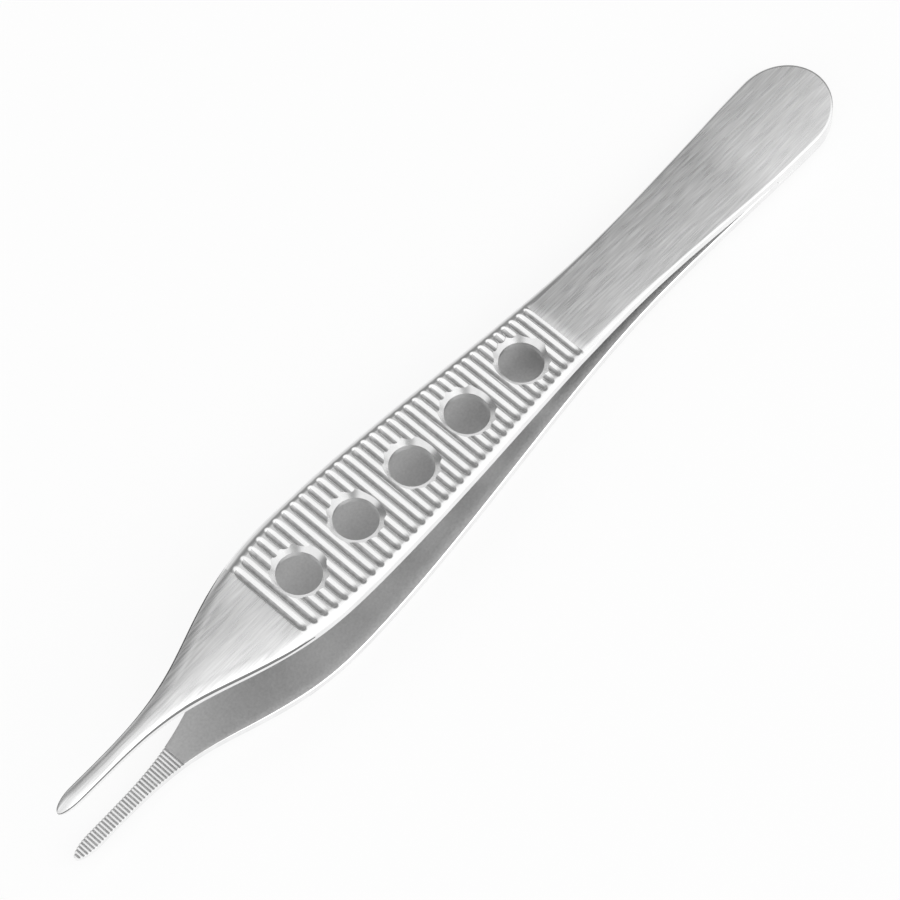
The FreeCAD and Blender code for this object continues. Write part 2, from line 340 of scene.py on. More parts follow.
@dataclass(frozen=True)
class RidgedGrip:
    """Scalloped grooves across the outer face, each with rounded ends.

    Attributes:
        count: How many grooves.
        first: Place of the front one.
        pitch_front: Distance between the first two.
        pitch_rear: Distance between the last two.
        width: Width at the face.
        depth: Depth in the middle.
        overrun: How far the grooves run into the rounded border.
        softness: Rounding of the crests.
        end_stretch: How much longer a groove's end is than it is wide.
        track_share: Share of the radius where the round bottom is given up.
        fade_share: Share of the radius where the depth starts to fade out.
        bottom_span: Where a groove's bottom, which is painted in shade, lies, in widths from its
            middle.
        crest_offsets: Places of the rings beside each edge of a groove.
        bottom_rows: How many rings draw the round bottom.
        roll_length: Length of the worn stretch behind the last groove.
        roll_depth: Its depth at the groove.
    """
    count: int = 36
    first: float = 88.7
    pitch_front: float = 1.38
    pitch_rear: float = 1.13
    width: float = 1.0
    depth: float = 0.21
    overrun: float = 0.20
    softness: float = 0.035
    end_stretch: float = 2.2
    track_share: float = 0.999
    fade_share: float = 0.9
    bottom_span: tuple[float, float] = (-0.16, 0.30)
    crest_offsets: tuple[float, ...] = (0.025, 0.06)
    bottom_rows: int = 11
    roll_length: float = 1.1
    roll_depth: float = 0.07

    def centres(self) -> Array:
        """Groove places from the front.

        Returns:
            One place per groove, the pitch closing evenly towards the rear.
        """
        share = np.arange(self.count - 1) / (self.count - 2)
        steps = self.pitch_front + (self.pitch_rear - self.pitch_front) * share
        return self.first - np.concatenate([[0.0], np.cumsum(steps)])

    def limits(self) -> tuple[float, float]:
        """Rear edge of the last groove and front edge of the first."""
        centres = self.centres()
        return centres[-1] - self.width / 2.0, centres[0] + self.width / 2.0

    def radius(self) -> float:
        """Radius of the groove's round bottom."""
        return (self.width ** 2 / 4.0 + self.depth ** 2) / (2.0 * self.depth)

    def depth_at(self, x: Array, y: Number = 0.0, reach: Number = np.inf,
                 fall: Number = 0.0) -> Array:
        """Depth of the grooves below the outer face, or below its falling border.

        Each groove is a ball's track: the depth is the groove's depth less the sagitta of its
        radius at the distance from the track, and past the track's end the distance is measured
        from that end, where the stretch makes the end long and shallow. What is left of that
        below the surface is taken, with a rounded crest.

        Args:
            x: Distances along the limb.
            y: Distances across, from the middle.
            reach: How far across the grooves run.
            fall: How far the border has fallen away there already.

        Returns:
            Depths, never negative.
        """
        order = self.centres()[::-1]
        nearest = order[np.argmin(np.abs(x[..., None] - order), axis=-1)]
        track = reach - self.end_stretch * self.width / 2.0
        beyond = np.maximum(np.abs(y) - track, 0.0) / self.end_stretch
        away = np.hypot(x - nearest, beyond)
        radius = self.radius()
        limit = radius * self.track_share
        sagitta = radius - np.sqrt(radius ** 2 - np.minimum(away, limit) ** 2)
        level = self.depth - fall - sagitta
        rounded = 0.5 * (level + np.sqrt(level ** 2 + self.softness ** 2))
        return rounded * smooth_step(limit, radius * self.fade_share, away)

    def roll_over(self, x: Array) -> Array:
        """Depth by which the buffing wheel has worn the face down to the last groove's edge.

        Args:
            x: Distances along the limb.

        Returns:
            Depths that grow with the square of the way to the edge and fade out in the groove.
        """
        edge, middle = self.limits()[0], self.centres()[-1]
        share = np.clip((x - edge + self.roll_length) / self.roll_length, 0.0, 1.0)
        return self.roll_depth * share ** 2 * (1.0 - smooth_step(edge, middle, x))

    def bottom_at(self, x: Array) -> Array:
        """Tells the bottoms of the grooves, which are painted in shade.

        Args:
            x: Distances along the limb.

        Returns:
            Whether each place lies in a groove's bottom.
        """
        low, high = (share * self.width for share in self.bottom_span)
        off = x[..., None] - self.centres()
        return np.any((off > low) & (off < high), axis=-1)

    def stations(self) -> Array:
        """Places along the limb that draw each groove's round bottom and its two crests.

        Returns:
            The places. The bottom's are the radius times the sines of evenly spaced angles.
        """
        half_turn = math.asin(self.width / 2.0 / self.radius())
        bottom = self.radius() * np.sin(np.linspace(-1.0, 1.0, self.bottom_rows) * half_turn)
        crest = self.width / 2.0 + np.array(self.crest_offsets)
        offsets = np.concatenate([bottom, crest, -crest])
        return (self.centres()[:, None] + offsets[None, :]).ravel()


@dataclass(frozen=True)
class GripHoles:
    """Countersunk holes down the middle of the upper limb's grip.

    Attributes:
        count: How many holes.
        first: Place of the front one's middle.
        pitch: Distance from one to the next.
        radius: Radius of the bores.
        countersink_radius: Radius of the countersinks at the face.
        countersink_depth: Their depth.
        bore_angle_step: Angle between the rings that draw a bore, in degrees.
        mouth_angles: Angles of the rings that close a mouth, from its end, in degrees.
        search_margin: How far beyond a countersink its mouth's ends are looked for.
        search_step: Step of that search.
    """
    count: int = 5
    first: float = 84.3
    pitch: float = 8.66
    radius: float = 2.5
    countersink_radius: float = 3.2
    countersink_depth: float = 0.65
    bore_angle_step: float = 6.0
    mouth_angles: tuple[float, ...] = (0.0, 4.0, 8.0, 12.0, 16.0)
    search_margin: float = 0.3
    search_step: float = 0.004

    def centres(self) -> Array:
        """Hole places from the front."""
        return self.first - self.pitch * np.arange(self.count)

    def nearest(self, x: Array) -> Array:
        """Distance along the limb from the nearest hole's middle."""
        return np.min(np.abs(x[..., None] - self.centres()), axis=-1)

    def cone_depth(self, rho: Array) -> Array:
        """Depth of the countersink at rho from the axis: even from the bore out to the face."""
        slope = self.countersink_depth / (self.countersink_radius - self.radius)
        return self.countersink_depth - (rho - self.radius) * slope

    def mouth_radius(self, ground: Array) -> Array:
        """Radius where the cone comes up to the ridges.

        Args:
            ground: Depth of the grooves.

        Returns:
            The bore's radius plus what the cone gains between its foot and that depth.
        """
        flare = (self.countersink_radius - self.radius) / self.countersink_depth
        return self.radius + (self.countersink_depth - ground) * flare

    def rim(self, x: Array, ground: Array) -> tuple[Array, Array]:
        """Half chords of the bore and of the countersink's mouth.

        Args:
            x: Distances along the limb.
            ground: Depth of the grooves there.

        Returns:
            The two half chords, each the root of its radius squared less the distance squared.
        """
        dx = self.nearest(x)
        return (np.sqrt(np.maximum(self.radius ** 2 - dx ** 2, 0.0)),
                np.sqrt(np.maximum(self.mouth_radius(ground) ** 2 - dx ** 2, 0.0)))

    def stations(self, grip: RidgedGrip) -> Array:
        """Places that draw the bore round and close the wavy mouth neatly at its two ends.

        Args:
            grip: The grooves that the holes cross.

        Returns:
            The bore's places by even angles, and a cluster of places round each end of the
            mouth, which is where the mouth's radius equals the distance from the hole's middle.
        """
        bore = self.radius * np.cos(np.radians(np.arange(0.0, 180.1, self.bore_angle_step)))
        search = self.countersink_radius + self.search_margin
        fine = np.arange(-search, search, self.search_step)
        x = self.centres()[:, None] + fine[None, :]
        spare = self.mouth_radius(grip.depth_at(x)) - np.abs(fine)[None, :]
        crossing = x[:, :-1][np.diff(np.sign(spare), axis=1) != 0]
        cluster = self.countersink_radius * (1.0 - np.cos(np.radians(self.mouth_angles)))
        ends = crossing[:, None] + np.concatenate([cluster, -cluster])[None, :]
        return np.concatenate([(self.centres()[:, None] + bore[None, :]).ravel(), ends.ravel()])


@dataclass(frozen=True)
class Serrations:
    """V notches across the inner faces of the tips.

    Attributes:
        count: How many notches.
        pitch: Distance from one to the next.
        depth: Their depth.
        lead: Distance from the tip's end to the first one's bottom.
        land: Width of the flat left between two notches.
    """
    count: int = 34
    pitch: float = 0.443
    depth: float = 0.17
    lead: float = 0.35
    land: float = 0.19

    def half_mouth(self) -> float:
        """Half the width of a notch at the face."""
        return (self.pitch - self.land) / 2.0

    def offset(self, x: Array, length: float) -> Array:
        """Distance of x behind the bottom of the nearest notch, negative in front of it."""
        behind = (length - self.lead) - x
        return behind - np.clip(np.round(behind / self.pitch), 0, self.count - 1) * self.pitch

    def depth_at(self, x: Array, length: float) -> Array:
        """Depth of the notches: a V under each place, none on the lands between."""
        off = np.abs(self.offset(x, length))
        return self.depth * np.maximum(1.0 - off / self.half_mouth(), 0.0)

    def faces_butt(self, x: Array, length: float) -> Array:
        """Whether x lies in the half of a notch that faces the butt."""
        off = self.offset(x, length)
        return (off < 0.0) & (off > -self.half_mouth())

    def reach(self) -> float:
        """How far from the tip the notches run."""
        return self.lead + self.pitch * (self.count - 0.5)

    def stations(self, length: float) -> Array:
        """Places along the limb that draw each notch.

        Args:
            length: Place of the tip's end.

        Returns:
            The places of each V's bottom and of its two upper edges.
        """
        middle = length - self.lead - self.pitch * np.arange(self.count)
        edges = np.array([-self.half_mouth(), 0.0, self.half_mouth()])
        return (middle[:, None] + edges[None, :]).ravel()


@dataclass(frozen=True)
class WeldGroove:
    """The V ground into both limbs round the butt, which the bead fills."""
    half_height: float = 0.4
    depth: float = 0.7


@dataclass(frozen=True)
class RowCounts:
    """How many rows of points each strip of a limb's surface has from edge to edge."""
    cone: int = 5
    face: int = 7
    groove_ends: int = 10
    border: int = 9
    flank: int = 4
    broken_edge: int = 4
    inner_face: int = 6
    bore: int = 6


@dataclass(frozen=True)
class SheetGrid:
    """A grid of points, its cells' finishes and the way it faces."""
    points: Array
    zones: Array
    flip: bool = False


@dataclass(frozen=True)
class Section:
    """Sizes of a limb at its stations, each a column with one row for each station.

    Attributes:
        s: Distance from the butt end.
        half: Half width of the outline.
        along: Part along the limb of the direction out of the outline.
        across: Part of it across the limb.
        border: Width of the rounded border.
        face_y: Half width of the face between the borders.
        reach: How far across the grooves run.
        crown: Depth of the crown over the square of the distance across.
        nose_fall: Depth by which the face falls away at the nose.
        drop: How far the border falls below its upper edge.
        arc_end: Angle at which the border's arc ends, in radians.
        bore: Half chord of the hole's bore.
        mouth: Half chord of the countersink's mouth.
        thick: Thickness.
        bottom: Depth of the inner face, less the notches there.
        lift: Height of the broken inner edge, or of the weld's V.
        pull: How far that edge or that V goes in from the outline.
    """
    s: Array
    half: Array
    along: Array
    across: Array
    border: Array
    face_y: Array
    reach: Array
    crown: Array
    nose_fall: Array
    drop: Array
    arc_end: Array
    bore: Array
    mouth: Array
    thick: Array
    bottom: Array
    lift: Array
    pull: Array

    def inset_x(self, inset: Array) -> Array:
        """Place along the limb of a point moved in from the outline by inset."""
        return self.s - self.along * inset

    def inset_y(self, inset: Array) -> Array:
        """Distance across of a point moved in from the outline by inset."""
        return self.half - self.across * inset

    def edge(self) -> Array:
        """Depth of the face where the border starts."""
        return self.crown * self.face_y ** 2 + self.nose_fall

    def middle(self) -> Array:
        """Places halfway between neighbouring stations."""
        return (self.s[1:] + self.s[:-1]) / 2.0


@dataclass
class HalfSurface:
    """Strips of half a limb's surface, laid edge to edge."""
    xs: list[Array] = field(default_factory=list)
    ys: list[Array] = field(default_factory=list)
    depths: list[Array] = field(default_factory=list)
    zones: list[Array] = field(default_factory=list)

    def add(self, x: Array, y: Array, depth: Array, zone: Array | Zone) -> None:
        """Adds a strip, of which the first column repeats the last strip's edge.

        Args:
            x: Distances along the limb.
            y: Distances across.
            depth: Depths below the outer face.
            zone: Finish of each cell.
        """
        x, y, depth = np.broadcast_arrays(x, y, depth)
        first = 1 if self.xs else 0
        self.xs.append(x[:, first:])
        self.ys.append(y[:, first:])
        self.depths.append(depth[:, first:])
        self.zones.append(np.broadcast_to(zone, (x.shape[0] - 1, x.shape[1] - 1)))

    def joined(self) -> list[Array]:
        """The whole grids of x, y, depth and finish."""
        return [np.concatenate(part, axis=1)
                for part in (self.xs, self.ys, self.depths, self.zones)]


@dataclass
class Limb:
    """One limb of the pair, as a closed surface in a single mesh.

    Attributes:
        border: Width of the outer face's rounded border.
        border_drop: How far the border falls away.
        border_arc_end: Angle short of upright at which it meets the flank, in degrees.
        crown: How far the face falls from its middle to its edge.
        painted_dark_band: Width of the painted dark reflection between the border and the flank.
        inner_break: Size of the inner face's broken edge.
        inner_break_share: The most of the half width that it takes.
        shank_start: Where the border is first held to a share of the half width.
        shank_border_share: That share.
        crown_least_half: Half width below which the crown's curve doesn't tighten.
        nose_drop: How far the face falls away at the nose.
        nose_border_loss: Share of the border's drop that is lost there.
        groove_end_band: Width of the face's outer band, where rows lie closer.
        groove_end_share: Least share of the face's half width at which the band starts.
        painted_shade_depth: Depth past which a groove's end, in the groove's bottom, is painted in
            shade where it bites into the border.
        lean_start: Where the depth starts to lean with the face, and where it leans in full.
        lean_end: Where the leaning starts to fade, and where it ends.
        plain_runs: Start, end and step of the rings along the plain stretches.
    """
    side: Side
    outline: LimbOutline = field(default_factory=LimbOutline)
    bow: LimbBow = field(default_factory=LimbBow)
    grip: RidgedGrip = field(default_factory=RidgedGrip)
    holes: GripHoles | None = None
    teeth: Serrations = field(default_factory=Serrations)
    weld: WeldGroove = field(default_factory=WeldGroove)
    rest: RestPose = field(default_factory=RestPose)
    rows: RowCounts = field(default_factory=RowCounts)
    border: Profile = Profile((30.0, 44.0, 79.5, 96.0), (0.3, 0.85, 0.95, 1.6))
    border_drop: Profile = Profile((32.3, 50.3, 79.5, 96.0, 108.0, 114.0),
                                   (0.22, 0.45, 0.6, 0.7, 0.6, 0.45))
    border_arc_end: Profile = Profile((88.0, 93.0), (0.0, 38.0))
    crown: Profile = Profile((40.0, 56.0, 89.2, 92.5), (0.15, 0.0, 0.0, 0.24))
    # painted dark reflection: how far down the flank the dark strip runs
    painted_dark_band: Profile = Profile((88.5, 92.0, 100.0, 119.0), (0.03, 0.34, 0.34, 0.16))
    inner_break: Profile = Profile((92.0, 102.0), (0.22, 0.04))
    inner_break_share: float = 0.2
    shank_start: float = 79.5
    shank_border_share: float = 0.85
    crown_least_half: float = 0.8
    nose_drop: float = 0.5
    nose_border_loss: float = 0.3
    groove_end_band: float = 0.85
    groove_end_share: float = 0.6
    painted_shade_depth: float = 0.04
    lean_start: tuple[float, float] = (42.0, 45.0)
    lean_end: tuple[float, float] = (90.0, 95.0)
    plain_runs: tuple[tuple[float, float, float], ...] = (
        (6.3, 43.0, 0.7), (43.1, 44.4, 0.15), (89.4, 117.2, 0.4))

    def stations(self) -> Array:
        """Every place along the limb where the surface has a ring, in order.

        Returns:
            The two rounded ends by even angles, the plain stretches by even steps, and the
            grooves', holes' and teeth's own places.
        """
        outline, seam_end = self.outline, self.bow.seam_length
        parts = [outline.butt_stations(), [seam_end - SEAM_STEP, seam_end + SEAM_STEP],
                 self.grip.stations(), outline.nose_stations(),
                 self.teeth.stations(outline.length)]
        parts += [np.arange(start, end, step) for start, end, step in self.plain_runs]
        if self.holes is not None:
            parts.append(self.holes.stations(self.grip))
        places = np.clip(np.concatenate(parts), outline.start, outline.length)
        return np.unique(np.round(places, STATION_DIGITS))

    def section(self) -> Section:
        """The limb's sizes at every station.

        Returns:
            The sizes. The outline closes to a point at both ends, where nothing is moved in
            across the limb.
        """
        s = self.stations()[:, None]
        outline = self.outline
        half = outline.half_width(s)
        along, across = outline.outward(s)
        across = np.where(half < TINY, 0.0, across)
        border = self.border.at(s)
        border = np.where(s > self.shank_start,
                          np.minimum(border, self.shank_border_share * half), border)
        face_y = half - across * border
        reach = face_y + self.grip.overrun
        nose = outline.nose_share(s)
        arc_end = np.radians(self.border_arc_end.at(s))
        drop = self.border_drop.at(s) * (1.0 - self.nose_border_loss * nose)
        spread = np.where(s < self.crown.places[1], outline.butt_width / 2.0,
                          np.maximum(half, self.crown_least_half))
        bore, mouth = np.zeros_like(s), np.zeros_like(s)
        if self.holes is not None:
            bore, mouth = self.holes.rim(s, self.grip.depth_at(s, 0.0, reach))
        thick = self.bow.thickness.at(s)
        seam = s < self.bow.seam_length
        broken = np.minimum(self.inner_break.at(s), self.inner_break_share * half)
        return Section(
            s=s, half=half, along=along, across=across, border=border, face_y=face_y,
            reach=reach, crown=self.crown.at(s) / spread ** 2,
            nose_fall=self.nose_drop * nose ** 2, drop=drop * (1.0 - np.sin(arc_end)),
            arc_end=arc_end, bore=bore, mouth=mouth, thick=thick,
            bottom=thick - self.teeth.depth_at(s, outline.length),
            lift=np.where(seam, self.weld.half_height, broken),
            pull=np.where(seam, np.minimum(self.weld.depth, half), broken))

    def face_depth(self, at: Section, y: Array) -> Array:
        """Depth of the crown and the grooves, and of the nose's fall.

        Args:
            at: Sizes at the stations.
            y: Distances across.

        Returns:
            Depths below the outer face's middle line.
        """
        x = at.inset_x(at.border)
        cut = self.grip.depth_at(x, y, at.reach)
        return at.crown * y ** 2 + np.maximum(cut, self.grip.roll_over(x)) + at.nose_fall

    def add_face(self, surface: HalfSurface, at: Section) -> None:
        """Adds the countersinks, the ridged or plain face and the band of the groove ends.

        Args:
            surface: The surface so far.
            at: Sizes at the stations.
        """
        x, middle = at.inset_x(at.border), at.middle()
        rear, front = self.grip.limits()
        finish = np.where((middle < front) & (middle > rear), Zone.RIDGES, Zone.SATIN)
        # painted shade: the grooves' bottoms get a darker finish
        finish = np.where(self.grip.bottom_at(middle), Zone.TROUGH, finish)
        y = even_steps(at.bore, at.mouth, self.rows.cone)
        depth = self.face_depth(at, y)
        if self.holes is not None:
            cone = self.holes.cone_depth(np.hypot(self.holes.nearest(at.s), y))
            depth = np.where(at.mouth > 0.0, cone, depth)
        open_hole = (at.mouth[1:] > 0.0) & (at.mouth[:-1] > 0.0)
        surface.add(x, y, depth, np.where(open_hole, Zone.CONE, finish))
        band = np.maximum(at.face_y - self.groove_end_band, self.groove_end_share * at.face_y)
        band = np.maximum(band, at.mouth)
        for start, end, count in ((at.mouth, band, self.rows.face),
                                  (band, at.face_y, self.rows.groove_ends)):
            y = even_steps(start, end, count)
            surface.add(x, y, self.face_depth(at, y), finish)

    def shaded(self) -> Zone:
        """Finish of the painted dark reflection along the shank, which only the upper limb gets.
        """
        return Zone.CREASE if self.side is Side.UPPER else Zone.EDGE

    def add_border(self, surface: HalfSurface, at: Section) -> None:
        """Adds the rounded border, bitten into by the groove ends.

        The border is an arc from the face's edge out to the outline, with its insets by the
        cosine of the turn and its fall by the sine.

        Args:
            surface: The surface so far.
            at: Sizes at the stations.
        """
        middle = at.middle()
        turn = even_steps(np.pi / 2.0, at.arc_end, self.rows.border)
        inset = at.border * (1.0 - np.cos(turn) / np.cos(at.arc_end))
        fall = at.drop * (1.0 - np.sin(turn)) / (1.0 - np.sin(at.arc_end))
        y = at.inset_y(inset)
        cut = self.grip.depth_at(at.s, y, at.reach, fall)
        worn = self.grip.roll_over(at.s) * even_steps(1.0, 0.0, self.rows.border)
        finish = np.where(middle > self.grip.limits()[1], Zone.SATIN, Zone.EDGE)
        finish = np.repeat(finish, self.rows.border - 1, axis=1)
        # The border's last row along the shank is painted dark, as a painted reflection.
        finish[:, -1:] = np.where(middle > self.painted_dark_band.places[0], self.shaded(), finish[:, -1:])
        # painted shade where the groove ends bite into the border
        bitten = (cut[1:, 1:] > self.painted_shade_depth) & self.grip.bottom_at(middle)
        surface.add(at.inset_x(inset), y, at.edge() + fall + np.maximum(cut, worn),
                    np.where(bitten, Zone.TROUGH, finish))

    def add_flank(self, surface: HalfSurface, at: Section) -> None:
        """Adds the painted dark band, the flank and the broken inner edge, or the weld's V by the
        seam.

        Args:
            surface: The surface so far.
            at: Sizes at the stations.
        """
        top = at.edge() + at.drop
        end = np.maximum(at.bottom - at.lift, top)
        painted_dark_band_end = top + np.minimum(self.painted_dark_band.at(at.s), end - top)
        # Top of the flank: a strip of painted dark reflection along the shank.
        surface.add(at.s, at.half, np.hstack([top, painted_dark_band_end]),
                    np.where(at.middle() > self.painted_dark_band.places[0], self.shaded(), Zone.EDGE))
        surface.add(at.s, at.half, even_steps(painted_dark_band_end, end, self.rows.flank), Zone.EDGE)
        share = even_steps(0.0, 1.0, self.rows.broken_edge)
        turn = share * np.pi / 2.0
        seam = at.s < self.bow.seam_length
        inset = at.pull * np.where(seam, share, 1.0 - np.cos(turn))
        down = np.where(seam, share, np.sin(turn))
        surface.add(at.inset_x(inset), at.inset_y(inset), end + (at.bottom - end) * down,
                    Zone.EDGE)

    def add_inner_face(self, surface: HalfSurface, at: Section) -> None:
        """Adds the inner face from its edge to the middle or the bore, with the serrations.

        Args:
            surface: The surface so far.
            at: Sizes at the stations.
        """
        middle, length = at.middle(), self.outline.length
        start = np.maximum(at.inset_y(at.pull), 0.0)
        # painted shade on the notch walls that face the butt; the other walls take the ridges'
        # bright finish
        tooth = np.where(self.teeth.faces_butt(middle, length), Zone.TROUGH, Zone.RIDGES)
        surface.add(at.inset_x(at.pull), even_steps(start, at.bore, self.rows.inner_face),
                    at.bottom,
                    np.where(middle > length - self.teeth.reach(), tooth, Zone.BLASTED))

    def half_rings(self) -> tuple[Array, Array, Array, Array]:
        """The half of the surface on one side of the middle.

        Each strip runs along the limb, and the strips follow each other from the middle of the
        outer face round to the middle of the inner one. A point lies at its station, moved in
        from the outline along the outline's own direction, at a depth below the outer face.
        Between the holes the depth leans with the face, because the holes were drilled square
        to the strip.

        Returns:
            The x, y and z grids, and the finish of each cell.
        """
        at, surface = self.section(), HalfSurface()
        self.add_face(surface, at)
        self.add_border(surface, at)
        self.add_flank(surface, at)
        self.add_inner_face(surface, at)
        x, y, depth, zones = surface.joined()
        leaning = smooth_step(*self.lean_start, at.s) * (1.0 - smooth_step(*self.lean_end, at.s))
        lean = self.bow.slope_sine(at.s) * leaning
        outer = self.bow.inner(x) + at.thick
        return x + lean * depth, y, outer - depth * (1.0 - lean ** 2), zones

    def bore_walls(self, points: Array) -> list[SheetGrid]:
        """The bores of the holes, from the inner face up to the countersink's foot.

        Args:
            points: Grid of the half surface.

        Returns:
            For each hole, the wall on this side of the middle.
        """
        if self.holes is None:
            return []
        walls, s = [], self.stations()
        share = np.linspace(0.0, 1.0, self.rows.bore)[None, :, None]
        for centre in self.holes.centres():
            inside = np.abs(s - centre) <= self.holes.radius + 10.0 ** -STATION_DIGITS
            top, foot = points[inside, :1], points[inside, -1:]
            walls.append(SheetGrid(foot + (top - foot) * share, np.array(int(Zone.EDGE))))
        return walls

    def build(self, name: str, finishes: list[bpy.types.Material]) -> bpy.types.Object:
        """The limb as a mesh object in its finishes.

        Args:
            name: The object's name.
            finishes: Materials in the order of the zones.

        Returns:
            The object.
        """
        x, y, z, zones = self.half_rings()
        points = np.stack([x, y, z], axis=-1)
        sheets = [SheetGrid(points, zones)] + self.bore_walls(points)
        mirror = np.array([1.0, -1.0, 1.0])
        sheets += [SheetGrid(sheet.points * mirror, sheet.zones, True) for sheet in sheets]
        return surface_object(name, sheets, self.rest, self.side, finishes)


@dataclass
class ButtWeld:
    """Bead that fills the V ground round the butt, flush with the flanks."""
    outline: LimbOutline = field(default_factory=LimbOutline)
    bow: LimbBow = field(default_factory=LimbBow)
    groove: WeldGroove = field(default_factory=WeldGroove)
    rest: RestPose = field(default_factory=RestPose)
    straight_run: tuple[float, float, float] = (7.0, 12.5, 0.5)
    end_gap: float = 0.001
    face_rows: int = 7
    face_sink: float = 0.012
    edge_sink: float = 0.004

    def build(self, name: str, finish: bpy.types.Material) -> bpy.types.Object:
        """The bead: a V section carried round the butt's outline, from one side to the other.

        Args:
            name: The object's name.
            finish: Its material.

        Returns:
            The object.
        """
        x = np.concatenate([self.outline.butt_stations(), np.arange(*self.straight_run),
                            [self.bow.seam_length - SEAM_STEP - self.end_gap]])
        side = np.stack([x, self.outline.half_width(x), *self.outline.outward(x)], axis=-1)
        other = side[::-1] * np.array([1.0, -1.0, 1.0, -1.0])
        path = np.concatenate([other[:-1], side])[:, None, :]
        rise = np.linspace(-1.0, 1.0, self.face_rows) * self.groove.half_height
        sink = np.full(self.face_rows, self.face_sink)
        sink[[0, -1]] = self.edge_sink
        ring_z = np.concatenate([rise, [0.0], rise[:1]])
        ring_in = np.concatenate([sink, [self.groove.depth], sink[:1]])
        inset = path[..., :2] - path[..., 2:] * ring_in[:, None]
        height = np.broadcast_to(ring_z[:, None], (*inset.shape[:2], 1))
        tube = np.concatenate([inset, height], axis=-1)
        steel = np.array(0)  # the bead's only material
        sheets = [SheetGrid(tube, steel, True)]
        for ring, flip in ((tube[0], False), (tube[-1], True)):
            hub = np.broadcast_to(ring.mean(axis=0), ring.shape)
            sheets.append(SheetGrid(np.stack([ring, hub]), steel, flip))
        return surface_object(name, sheets, self.rest, Side.UPPER, [finish])


def join_sheets(sheets: list[SheetGrid], turned: bool) -> tuple[Array, Array, Array, Array]:
    """Joins grids into one set of faces.

    Points that coincide are joined, and a cell with two or more equal corners becomes a triangle
    or goes.

    Args:
        sheets: Grids of points.
        turned: Whether every face is turned over, for a mirrored limb.

    Returns:
        The points, the faces' corners one after another, their numbers of corners and their
        finishes.
    """
    points, quads, zones, start = [], [], [], 0
    for grid in sheets:
        rows, cols = grid.points.shape[:2]
        index = start + np.arange(rows * cols).reshape(rows, cols)
        cells = np.stack([index[:-1, :-1], index[1:, :-1], index[1:, 1:], index[:-1, 1:]], axis=-1)
        cells = cells[..., ::-1] if grid.flip != turned else cells
        quads.append(cells.reshape(-1, 4))
        zones.append(np.broadcast_to(grid.zones, cells.shape[:2]).ravel())
        points.append(grid.points.reshape(-1, 3))
        start += rows * cols
    points, quads, zones = np.concatenate(points), np.concatenate(quads), np.concatenate(zones)
    keys = np.round(points * JOIN_SCALE).astype(np.int64)
    _, first, inverse = np.unique(keys, axis=0, return_index=True, return_inverse=True)
    quads = inverse.reshape(-1)[quads]
    same = quads == np.roll(quads, -1, axis=1)
    folded = (quads[:, 0] == quads[:, 2]) | (quads[:, 1] == quads[:, 3])
    full = ~same.any(axis=1) & ~folded
    single = (same.sum(axis=1) == 1) & ~folded
    triangles = quads[single][~same[single]]
    return (points[first], np.concatenate([quads[full].ravel(), triangles]),
            np.repeat([4, 3], [full.sum(), single.sum()]),
            np.concatenate([zones[full], zones[single]]))


def surface_object(name: str, sheets: list[SheetGrid], rest: RestPose, side: Side,
                   finishes: list[bpy.types.Material]) -> bpy.types.Object:
    """One closed mesh from grids that share their edges.

    The mesh keeps a map of millimetres along and across the limb for its finishes.

    Args:
        name: The object's name.
        sheets: Grids of points in the limb frame, in millimetres.
        rest: How the limb frame lies.
        side: Upper, or lower for the mirrored limb.
        finishes: The mesh's materials.

    Returns:
        The object, at the origin.
    """
    points, corners, sizes, zones = join_sheets(sheets, side is Side.LOWER)
    mesh = bpy.data.meshes.new(name)
    mesh.vertices.add(len(points))
    laid = rest.lay_down(points[:, 0], points[:, 1], points[:, 2] * side.value)
    mesh.vertices.foreach_set("co", laid.ravel())
    mesh.loops.add(len(corners))
    mesh.loops.foreach_set("vertex_index", corners.astype(np.int32))
    mesh.polygons.add(len(sizes))
    starts = np.concatenate([[0], np.cumsum(sizes)[:-1]])
    mesh.polygons.foreach_set("loop_start", starts.astype(np.int32))
    mesh.polygons.foreach_set("material_index", zones.astype(np.int32))
    strip_map = mesh.uv_layers.new(name="strip")
    strip_map.data.foreach_set("uv", (points[corners][:, :2] * MAP_UNIT).ravel())
    mesh.update(calc_edges=True)
    mesh.validate()
    mesh.set_sharp_from_angle(angle=math.radians(SHARP_ANGLE))
    sharpen_mouths(mesh)
    for finish in finishes:
        mesh.materials.append(finish)
    thing = bpy.data.objects.new(name, mesh)
    bpy.context.scene.collection.objects.link(thing)
    log.info("%s: %d points, %d faces", name, len(points), len(sizes))
    return thing


def sharpen_mouths(mesh: bpy.types.Mesh) -> None:
    """Makes an edge sharp where a countersink's cone meets another finish.

    Args:
        mesh: A mesh whose faces have their finishes already.
    """
    edges = np.empty(len(mesh.loops), np.int32)
    mesh.loops.foreach_get("edge_index", edges)
    sizes = np.empty(len(mesh.polygons), np.int32)
    mesh.polygons.foreach_get("loop_total", sizes)
    zones = np.empty(len(mesh.polygons), np.int32)
    mesh.polygons.foreach_get("material_index", zones)
    cone = np.repeat(zones == Zone.CONE, sizes).astype(np.int32)
    cones = np.bincount(edges, weights=cone, minlength=len(mesh.edges))
    sharp = np.empty(len(mesh.edges), bool)
    mesh.edges.foreach_get("use_edge_sharp", sharp)
    mesh.edges.foreach_set("use_edge_sharp", sharp | (cones == 1))


def arithmetic(tree: bpy.types.NodeTree, operation: str, *terms: Socket | float) -> Socket:
    """Arithmetic on sockets and plain numbers.

    Args:
        tree: The nodes to add to.
        operation: What is done, by the Math node's own name for it.
        terms: The sockets and numbers that it is done to.

    Returns:
        The result.
    """
    made = tree.nodes.new("ShaderNodeMath")
    made.operation = operation
    for slot, term in zip(made.inputs, terms):
        if isinstance(term, bpy.types.NodeSocket):
            tree.links.new(term, slot)
        else:
            slot.default_value = term
    return made.outputs[0]


